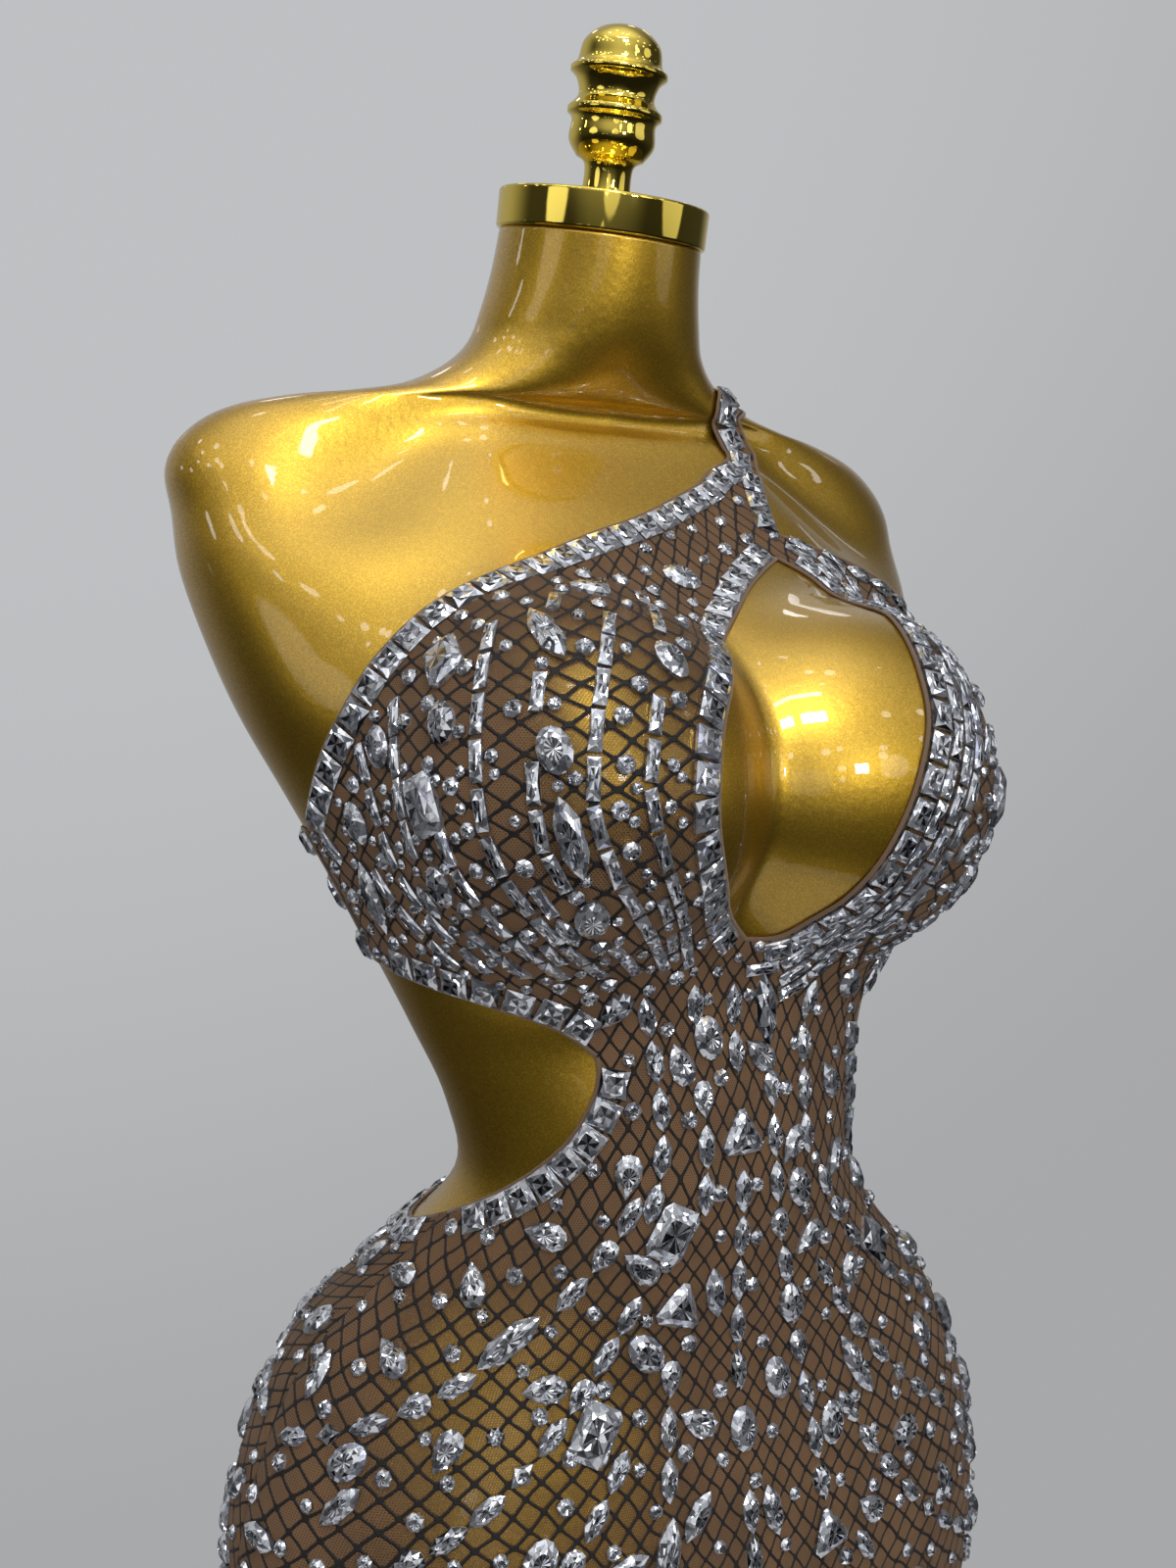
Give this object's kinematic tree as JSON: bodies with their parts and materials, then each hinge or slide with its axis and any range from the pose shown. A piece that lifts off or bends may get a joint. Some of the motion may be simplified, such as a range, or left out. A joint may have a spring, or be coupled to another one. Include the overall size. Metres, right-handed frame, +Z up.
{
  "type": "rhinestone mini dress on a limbless display form",
  "caption": "Close-fitting one-strap mini dress of net over mesh, set with clear stones, with a bust keyhole and open sides, on a gold display form with a capped neck and round stand.",
  "frame": {"origin": "on the floor, in the middle of the round base's underside", "axes": "+Z up, the dress's front towards -Y, the wearer's left towards +X"},
  "size_m": [0.408, 0.4, 1.1783],
  "materials": {
    "gold_form": "glossy metallic gold paint",
    "gold_metal": "polished",
    "steel": "satin",
    "net_cloth": "black net over brown mesh, with clear stones"
  },
  "bodies": {
    "root": {"stand_pole": "steel", "stand_base": "steel", "form_body": "gold_form", "neck_cap": "gold_metal", "finial": "gold_metal", "dress_front": "net_cloth", "dress_back": "net_cloth", "back_band": "net_cloth", "back_strap": "net_cloth"}
  },
  "joints": []
}
